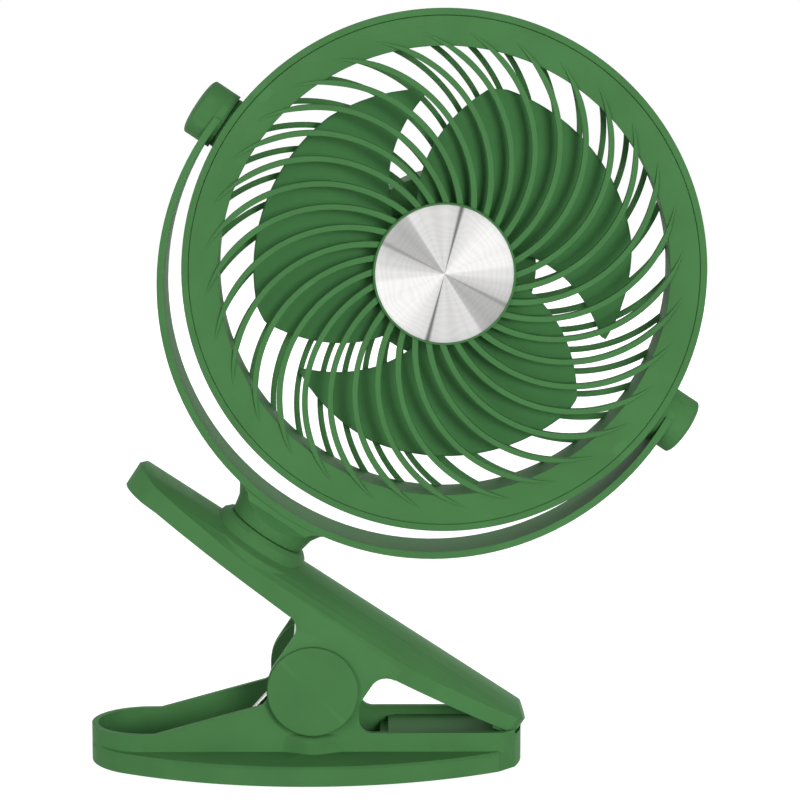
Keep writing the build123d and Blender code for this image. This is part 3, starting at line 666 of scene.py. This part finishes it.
def spun_metal_painted_reflection(name):
    """A disc finished by turning: fine rings round its middle in tone, bump and roughness, and wavy
    lapping marks. Over them lies painted reflection, light and grey wedge shapes and stripes alike in
    both half turns, as a turned disc mirrors its surroundings; its metallic gloss adds real reflection."""
    finish = Finish(name)
    centre = finish.add("ShaderNodeMapping", Location=[-part for part in HEAD[0]])
    finish.link(finish.place(), centre.inputs["Vector"])
    parts = finish.add("ShaderNodeSeparateXYZ")
    finish.link(centre.outputs["Vector"], parts.inputs["Vector"])
    x = parts.outputs["X"]
    z = parts.outputs["Z"]
    flat = finish.add("ShaderNodeCombineXYZ")
    finish.link(x, flat.inputs["X"])
    finish.link(z, flat.inputs["Y"])
    reach = finish.add("ShaderNodeVectorMath", operation="LENGTH")
    finish.link(flat.outputs["Vector"], reach.inputs[0])
    radius = reach.outputs["Value"]
    turn = finish.between(finish.maths("ARCTAN2", x, z), 1.0, 3.0, -math.pi, math.pi)
    half = finish.maths("FRACT", turn)
    rings = finish.noise(radius, noise_dimensions="1D", Scale=5200.0, Detail=3.0, Roughness=0.7)
    # painted reflection: stripes in tone that repeat each half turn
    reflection_streak = finish.noise(half, noise_dimensions="1D", Scale=15.0, Detail=4.0, Roughness=0.7)
    warp = finish.noise(centre.outputs["Vector"], Scale=90.0, Detail=1.0)
    lap = finish.maths("MULTIPLY_ADD", radius, 2800.0, finish.maths("MULTIPLY", warp, 26.0))
    tone = finish.maths(
        "MULTIPLY", finish.between(reflection_streak, 0.95, 1.04, 0.3, 0.7),
        finish.between(rings, 0.94, 1.05, 0.3, 0.7))
    tone = finish.maths(
        "MULTIPLY", tone, finish.between(finish.maths("SINE", lap), 0.965, 1.02, -1.0, 1.0))
    # the painted reflection's colour, times its stripes, the rings and the lapping marks
    shade = finish.add("ShaderNodeVectorMath", operation="SCALE")
    finish.link(painted_reflection_wedges(finish, half), shade.inputs[0])
    finish.link(tone, shade.inputs["Scale"])
    finish.colour(shade.outputs["Vector"])
    finish.roughness(rings, 0.40, 0.56)
    finish.bump(rings, 0.12, 0.00004)
    finish.shader.inputs["Metallic"].default_value = 0.30
    return finish.material


def metal(name, colour, rough, drawn=400.0):
    """Plated or drawn steel: tone, gloss and relief are cloudy and drawn out along Y."""
    finish = Finish(name)
    stretch = finish.add("ShaderNodeMapping", Scale=(1.0, 0.12, 1.0))
    finish.link(finish.place(), stretch.inputs["Vector"])
    cloud = finish.noise(stretch.outputs["Vector"], Scale=drawn, Detail=5.0, Roughness=0.65)
    finish.colour(finish.tint(cloud, times(colour, 0.78), times(colour, 1.12)))
    finish.roughness(cloud, rough - 0.08, rough + 0.12)
    finish.bump(cloud, 0.15, 0.00005)
    finish.shader.inputs["Metallic"].default_value = 1.0
    return finish.material


def rubber(name):
    """Black moulded rubber: dusty mottling and a coarse matt skin."""
    finish = Finish(name)
    dust = finish.noise(finish.place(), Scale=160.0, Detail=6.0, Roughness=0.7)
    skin = finish.noise(finish.place(), Scale=1500.0, Detail=2.0)
    finish.colour(finish.tint(dust, (0.018, 0.019, 0.018), (0.060, 0.062, 0.058)))
    finish.roughness(dust, 0.66, 0.88)
    finish.bump(skin, 0.3, 0.0001)
    return finish.material


def clear_lens(name):
    """A milky clear lens, unevenly glossy."""
    finish = Finish(name)
    haze = finish.noise(finish.place(), Scale=700.0, Detail=3.0)
    finish.colour(finish.tint(haze, (0.78, 0.80, 0.78), (0.92, 0.93, 0.91)))
    finish.roughness(haze, 0.10, 0.24)
    finish.shader.inputs["Transmission Weight"].default_value = 0.3
    return finish.material


def wrap(name, colour, rough):
    """Shrink film or solder mask: a glossy skin with soft creases."""
    finish = Finish(name)
    crease = finish.noise(finish.place(), Scale=240.0, Detail=5.0, Roughness=0.6)
    finish.colour(finish.tint(crease, times(colour, 0.7), times(colour, 1.3)))
    finish.roughness(crease, rough - 0.1, rough + 0.15)
    finish.bump(crease, 0.3, 0.0001)
    return finish.material


LOOKS = {
    "green_plastic": plastic("green_plastic", GREEN, 0.54),
    "green_blade": plastic("green_blade", BLADE_GREEN_SHADED, 0.50),
    "brushed_disc": spun_metal_painted_reflection("brushed_disc"),
    "rubber_black": rubber("rubber_black"),
    "spring_steel": metal("spring_steel", (0.50, 0.50, 0.49), 0.30, drawn=900.0),
    "zinc_steel": metal("zinc_steel", (0.62, 0.62, 0.60), 0.34),
    "battery_wrap": wrap("battery_wrap", (0.05, 0.12, 0.40), 0.30),
    "board": wrap("board", (0.02, 0.20, 0.06), 0.35),
    "lens": clear_lens("lens"),
}
SLOTS = {part["node"]: part["material_slot"] for part in frame["record"]["subparts"]}
SLOTS.update(lower_jaw_pad="green_plastic", upper_jaw_pad="green_plastic")   # the pads match the shell


# ---------------------------------------------------------------- placing
def wear(piece, slot):
    """The piece gets one finish."""
    piece.data.materials.clear()
    piece.data.materials.append(LOOKS[slot])


def stand_for(piece, node):
    """The piece takes over a CAD node: its body and its finish, and the node is hidden."""
    wear(piece, SLOTS[node])
    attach(piece, frame["nodes"][node]["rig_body"])
    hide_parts(node)


def moulded(node, width, take=(), extra=()):
    """A merged copy of a CAD node, less the space of the tools in `take` and with the pieces in
    `extra`. Its flat faces are made whole and its edges get a small bevel."""
    name = node + "_looks"
    piece = clean_object(frame["nodes"][node].data.copy(), name, merge=2e-6)
    for tool in take:
        piece = cut_out(piece, tool)
    if extra:
        piece = joined(name, [piece, *extra])
    mesh = piece.data
    work = bmesh.new()
    work.from_mesh(mesh)
    bmesh.ops.dissolve_limit(work, angle_limit=math.radians(FLAT), verts=work.verts, edges=work.edges)
    work.to_mesh(mesh)
    work.free()
    shade_smooth(mesh, COPY_SHARP)
    bevel = piece.modifiers.new("edges", "BEVEL")
    give(bevel, width=width * MM, segments=2, harden_normals=True)
    give(bevel, limit_method="ANGLE", angle_limit=math.radians(EDGE_ANGLE))
    stand_for(piece, node)


# ---------------------------------------------------------------- the head
def front_ribs():
    """The guard's curled ribs, a little wider at the hub. Each tail narrows to a point and comes
    forward to the ring's face."""
    def run(r):
        """The share of the tail that is behind."""
        return slope(r, RIB_TAIL, RIB_TIP)

    def width(r):
        """The flare at the hub times the narrowing of the tail."""
        flare = 1 + RIB_FLARE - RIB_FLARE * slope(r, FLARE_START, FLARE_END)
        return RIB_WIDTH * flare * (1 - TAIL_LOSS * run(r) ** TAIL_POWER)

    def front(r):
        """The depth of the rib's face."""
        return RIB_FRONT + (RING_FRONT + STEP_BACK - RIB_FRONT) * run(r) ** 2

    one = rib(RIB_ARC, HUB_RADIUS - SUNK, RIB_TIP, width, front, RIB_BACK, 44)
    return [turned(one, i * 360 / RIBS) for i in range(RIBS)]


def guard():
    """The front guard: the dished ring, the curled ribs and the thin-rimmed hub."""
    outer = GROOVE_RADIUS - GROOVE
    back = RING_FRONT + RING_PLATE
    ring = turned_solid([
        (RING_INNER, RING_FRONT + RING_DISH), (DISH_RADIUS, RING_FRONT), (outer, RING_FRONT),
        (outer, back), (RING_INNER, back)], radius=0.5, around=256)
    inner = HUB_RADIUS - HUB_RIM
    wall = HUB_RADIUS - HUB_WALL
    plate = DISC_BACK + HUB_PLATE
    hub = round_bar([
        (0, DISC_BACK), (inner, DISC_BACK), (inner, HUB_FRONT), (HUB_RADIUS, HUB_FRONT),
        (HUB_RADIUS, HUB_BACK), (wall, HUB_BACK), (wall, plate), (0, plate)], radius=0.22, around=192)
    stand_for(build("front_guard_looks", [ring, hub] + front_ribs(), HEAD), "front_guard")


def disc():
    """The metal disc in the hub, with the face y = front + crown (r / R)^2 and a broken edge."""
    radius = HUB_RADIUS - HUB_RIM - FIT
    r = np.linspace(0, radius - DISC_BREAK, 8)
    face = np.stack([r, DISC_FRONT + DISC_CROWN * (r / radius) ** 2], -1)
    inward, behind = DISC_BREAK_MIDDLE
    edge = [(radius - inward, DISC_FRONT + behind), (radius, DISC_FRONT + DISC_BREAK_END)]
    back = [(radius, DISC_BACK), (0, DISC_BACK)]
    grid = lathe(np.concatenate([face, edge, back]), around=192)
    stand_for(build("hub_disc_looks", [grid], HEAD), "hub_disc")


def rear_ribs():
    """The shell's curled ribs, the same all along."""
    def width(r):
        """One width."""
        return np.full_like(r, REAR_WIDTH)

    def front(r):
        """One depth."""
        return np.full_like(r, RING_BACK - REAR_DEPTH)

    one = rib(REAR_ARC, POD_RADIUS - SUNK, REAR_INNER + SUNK, width, front, RING_BACK, 32)
    return [turned(one, i * 360 / REAR_RIBS) for i in range(REAR_RIBS)]


def tilt_pads():
    """The two round pads that the head turns on, bored for the tilt screws."""
    bore = SCREW_RADIUS + SCREW_GAP
    pad = along_x(turned_solid([
        (bore, PAD_IN), (bore, PAD_OUT), (PAD_RADIUS, PAD_OUT), (PAD_RADIUS, PAD_IN)],
        radius=0.4, around=64))
    return [pad * [-1, 1, 1], pad]


def screw_posts():
    """The two bored posts that take the cover's screws."""
    front = POD_FLOOR - POST_SUNK
    back = POD_BACK - POST_SHORT
    post = turned_solid([
        (POST_BORE, front), (POST_BORE, back), (POST_RADIUS, back), (POST_RADIUS, front)],
        radius=0.2, around=32)
    return [post + [x, 0, 0] for x in (-POST_X, POST_X)]


def pod():
    """The cup behind the ribs, whose wall is cut for the charging socket: two half circles with
    straight sides between them."""
    inner = POD_RADIUS - POD_WALL
    cup = turned_solid([
        (POD_BORE, POD_FRONT), (POD_RADIUS, POD_FRONT), (POD_RADIUS, POD_BACK),
        (inner, POD_BACK), (inner, POD_FLOOR), (POD_BORE, POD_FLOOR)], radius=0.5, around=160)
    phase = circle(32)
    straight = (USB_WIDTH - USB_HEIGHT) / 2
    x = USB_HEIGHT / 2 * np.cos(phase) + straight * np.sign(np.cos(phase))
    y = USB_Y + USB_HEIGHT / 2 * np.sin(phase)
    slot = np.stack([x, y, np.full_like(x, -POD_RADIUS)], -1)
    outside, inside = USB_CUT
    tool = capped(np.stack([slot - [0, 0, outside], slot + [0, 0, inside]]))
    return cut_out(build("pod", [cup], HEAD), build("slot", [tool], HEAD))


def shell():
    """The ring behind the guard, its ribs, the pads at the tilt axis, the posts and the pod."""
    front = RING_FRONT + STEP_BACK
    seat = RING_FRONT + RING_PLATE
    ring = turned_solid([
        (GROOVE_RADIUS, front), (HEAD_RADIUS, front), (HEAD_RADIUS - RING_TAPER, RING_BACK),
        (REAR_INNER, RING_BACK), (REAR_INNER, seat), (GROOVE_RADIUS, seat)], radius=0.5, around=256)
    cup = pod()
    rest = build("shell", [ring] + rear_ribs() + tilt_pads() + screw_posts(), HEAD)
    stand_for(joined("rear_shell_looks", [cup, rest]), "rear_shell")


def fan_wheel():
    """The impeller: a cup with a sloped rim on the shaft, and three swept screw blades."""
    bore = SHAFT_RADIUS + FIT
    inner = FAN_HUB - FAN_WALL
    web = FAN_FRONT + FAN_WEB
    cup = turned_solid([
        (bore, FAN_FRONT), (FAN_HUB - FAN_SLOPE, FAN_FRONT), (FAN_HUB, FAN_FRONT + FAN_SLOPE),
        (FAN_HUB, FAN_BACK), (inner, FAN_BACK), (inner, web), (bore, web)], radius=0.6, around=128)
    one = turned(blade(), -math.degrees(LEAN))
    blades = [turned(one, i * 360 / BLADES) for i in range(BLADES)]
    stand_for(build("impeller_looks", [cup] + blades, HEAD), "impeller")


def dome_caps():
    """The rounded caps on the bosses: r = R sin^0.9, and the height goes with cos^0.8."""
    phase = np.linspace(0, math.pi / 2, 24)
    low = BOSS_OUTER + DOME_STEP
    r = BOSS_RADIUS * np.sin(phase) ** 0.9
    y = low + (DOME - DOME_STEP) * np.cos(phase) ** 0.8
    back = [(BOSS_RADIUS, BOSS_OUTER), (0, BOSS_OUTER)]
    cap = along_x(lathe(np.concatenate([np.stack([r, y], -1), back]), around=96))
    stand_for(build("tilt_caps_looks", [cap, cap * [-1, 1, 1]], HEAD), "tilt_caps")


# ---------------------------------------------------------------- the clip
def pin_caps():
    """The two discs on the pivot, with a softly rounded rim."""
    cap = round_bar([
        (0, CAP_IN), (CAP_RADIUS, CAP_IN), (CAP_RADIUS, CAP_OUT), (0, CAP_OUT)], radius=0.6, around=128)
    stand_for(build("pivot_caps_looks", [cap, cap * [1, -1, 1]], PIVOT), "pivot_caps")


def spring():
    """The torsion spring in round wire. It twists between the base and the lever."""
    path = spring_path()
    piece = build("torsion_spring_looks", [wire(path, SPRING_WIRE)], PIVOT)
    wear(piece, "spring_steel")
    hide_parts("torsion_spring")
    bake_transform(piece)


def mound(side):
    """The soft swelling on the ledge below a pivot cap, in place of the CAD's block. It stands
    out by cos^2 of the way along, times the profile's share."""
    x = np.linspace(-MOUND_HALF, MOUND_HALF, 33)
    back = WALL_OUT - MOUND_BACK
    rise = np.cos(0.5 * math.pi * x / MOUND_HALF) ** 2
    out = WALL_OUT + MOUND_START + MOUND_OUT * rise
    z, share = np.array(MOUND_PROFILE).T
    y = back + np.outer(out - back, share)
    grid = capped(np.stack([x[:, None] + 0 * y, y, z + 0 * y], -1))
    return build("mound", [grid * [1, side, 1]], BASE)


def jaw_end():
    """The wall that closes the jaw's tip. It follows the plinth's round end, a circle of radius
    TIP_ARC, stays under the lever's slanting nose and rises to the rim beside it."""
    y = np.linspace(-WALL_IN, WALL_IN, 65)
    away = np.abs(y)
    round_end = BASE_TIP - TIP_ARC + np.sqrt(TIP_ARC ** 2 - np.minimum(away, JAW_CORNER) ** 2)
    outer = round_end - JAW_SLANT * np.maximum(away - JAW_CORNER, 0)
    rise = slope(away, *JAW_STEP)
    x = np.stack([outer - JAW_WALL, outer - FIT, outer - FIT, outer - JAW_WALL], -1)
    low = np.full_like(y, DECK - FOOTING)
    high = [top + (RIM - top) * rise for top in (JAW_TOP_OUT, JAW_TOP_IN)]
    z = np.stack([low, low, *high], -1)
    return build("jaw_end", [capped(np.stack([x, y[:, None] + 0 * x, z], -1))], BASE)


def ledge_tool(side):
    """The space over the ledge in which the CAD's block stands."""
    low = LEDGE + FIT
    half = BLOCK_HALF
    corners = [(-half, low), (half, low), (half, RIM), (-half, RIM)]
    near = np.insert(corners, 1, side * (WALL_OUT + FIT), axis=1)
    far = np.insert(corners, 1, side * BLOCK_FAR, axis=1)
    return build("ledge_tool", [capped(np.stack([near, far]))], BASE)


def boss_tool(side):
    """Half a ring round a boss, on the side away from the band."""
    angle = np.linspace(TRIM_START, math.pi - TRIM_START, 40)
    inner = BOSS_RADIUS + FIT
    near = BOSS_INNER - TRIM_NEAR
    far = BOSS_OUTER + TRIM_FAR
    r = np.array([inner, TRIM_RADIUS, TRIM_RADIUS, inner])
    x = np.array([near, near, far, far])
    y = np.outer(np.cos(angle), r)
    ring = np.stack([x + 0 * y, y, np.outer(np.sin(angle), r)], -1)
    return build("boss_tool", [capped(ring) * [side, 1, 1]], HEAD)


# ---------------------------------------------------------------- small pieces and copies
def small_rounds():
    """The pin, the shaft, the lens and the button: turned bars with broken edges."""
    front = FAN_FRONT - SHAFT_OUT
    pin = round_bar([
        (0, -CAP_IN), (PIN_RADIUS, -CAP_IN), (PIN_RADIUS, CAP_IN), (0, CAP_IN)], radius=0.3, around=48)
    shaft = round_bar([
        (0, front), (SHAFT_RADIUS, front), (SHAFT_RADIUS, SHAFT_BACK), (0, SHAFT_BACK)],
        radius=0.3, around=32)
    lens = round_bar([
        (0, LENS_FRONT), (LENS_RADIUS, LENS_FRONT), (LENS_RADIUS, LENS_BACK), (0, LENS_BACK)],
        radius=0.4, around=32)
    button = round_bar(BUTTON, radius=0.5, around=64)
    for node, grid, place in (
            ("pivot_pin", pin, PIVOT), ("motor_shaft", shaft, HEAD),
            ("status_lens", lens + [0, 0, LENS_UP], HEAD), ("power_button", button, HEAD)):
        stand_for(build(node + "_looks", [grid], place), node)


def copies():
    """The pieces whose CAD shape is kept, with rounded edges, and the two that are changed: the
    base gets its swellings and its end wall, and the yoke's bosses are trimmed."""
    for node, width in EDGE_WIDTHS.items():
        moulded(node, width)
    blocks = [ledge_tool(1), ledge_tool(-1)]
    moulded("base_shell", 0.45, take=blocks, extra=[mound(1), mound(-1), jaw_end()])
    moulded("yoke", 0.5, take=[boss_tool(1), boss_tool(-1)])


# ---------------------------------------------------------------- stage
def seen_ray(tree):
    """One for the rays that show the white background: from the camera, or mirrored or let
    through by a surface. Nought for the rays that only carry light."""
    ray = add_node(tree, "ShaderNodeLightPath")
    seen = ray.outputs["Is Camera Ray"]
    for kind in ("Is Glossy Ray", "Is Transmission Ray"):
        either = add_node(tree, "ShaderNodeMath", operation="MAXIMUM")
        tree.links.new(seen, either.inputs[0])
        tree.links.new(ray.outputs[kind], either.inputs[1])
        seen = either.outputs[0]
    return seen


def white_floor():
    """A pale floor that shows as white and keeps the object's shadow."""
    mesh = bpy.data.meshes.new("floor")
    far = FLOOR_HALF
    mesh.from_pydata([(-far, -far, 0), (far, -far, 0), (far, far, 0), (-far, far, 0)], [], [(0, 1, 2, 3)])
    floor = add_object("floor", mesh)
    finish = Finish("floor")
    finish.shader.inputs["Base Color"].default_value = (FLOOR_GREY, FLOOR_GREY, FLOOR_GREY, 1)
    finish.shader.inputs["Roughness"].default_value = 0.9
    finish.shader.inputs["Specular IOR Level"].default_value = 0.0
    glow = finish.add("ShaderNodeEmission", Strength=FLOOR_GLOW)
    finish.link(seen_ray(finish.tree), glow.inputs["Color"])
    both = finish.add("ShaderNodeAddShader")
    finish.link(finish.shader.outputs[0], both.inputs[0])
    finish.link(glow.outputs[0], both.inputs[1])
    finish.link(both.outputs[0], finish.tree.nodes["Material Output"].inputs["Surface"])
    mesh.materials.append(finish.material)


def surroundings():
    """A weak white light from all round, and white where the background is seen."""
    world = bpy.data.worlds.new("studio")
    bpy.context.scene.world = world
    world.use_nodes = True
    tree = world.node_tree
    soft = tree.nodes["Background"]
    soft.inputs["Color"].default_value = (1, 1, 1, 1)
    soft.inputs["Strength"].default_value = WORLD_LIGHT
    white = add_node(tree, "ShaderNodeBackground", Color=(1, 1, 1, 1))
    mix = add_node(tree, "ShaderNodeMixShader")
    tree.links.new(seen_ray(tree), mix.inputs[0])
    tree.links.new(soft.outputs[0], mix.inputs[1])
    tree.links.new(white.outputs[0], mix.inputs[2])
    tree.links.new(mix.outputs[0], tree.nodes["World Output"].inputs["Surface"])


def lamps():
    """Soft round lamps, the strongest in front. Only the fill shows as a gleam."""
    for name, place, size, power in LAMPS:
        lamp = bpy.data.lights.new(name, "AREA")
        give(lamp, shape="DISK", size=size, energy=power)
        holder = add_object(name, lamp)
        holder.location = place
        holder.visible_glossy = name == "fill"
        x, y, z = np.array(LAMP_AIM) - np.array(place)
        holder.rotation_euler = (math.atan2(math.hypot(x, y), -z), 0, math.atan2(-x, y))


def camera():
    """The photograph's view, from just over a metre away and a little above."""
    lens = bpy.data.cameras.new("camera")
    give(lens, sensor_fit="HORIZONTAL", sensor_width=CAMERA_SENSOR, lens=CAMERA_LENS, clip_end=CAMERA_FAR)
    holder = add_object("camera", lens)
    holder.location = CAMERA_PLACE
    holder.rotation_euler = (math.radians(90 - CAMERA_DOWN), 0, math.radians(CAMERA_TURN))
    bpy.context.scene.camera = holder


camera()
white_floor()
surroundings()
lamps()
guard()
disc()
shell()
fan_wheel()
pin_caps()
dome_caps()
spring()
small_rounds()
copies()
bpy.context.scene.view_settings.view_transform = "Standard"
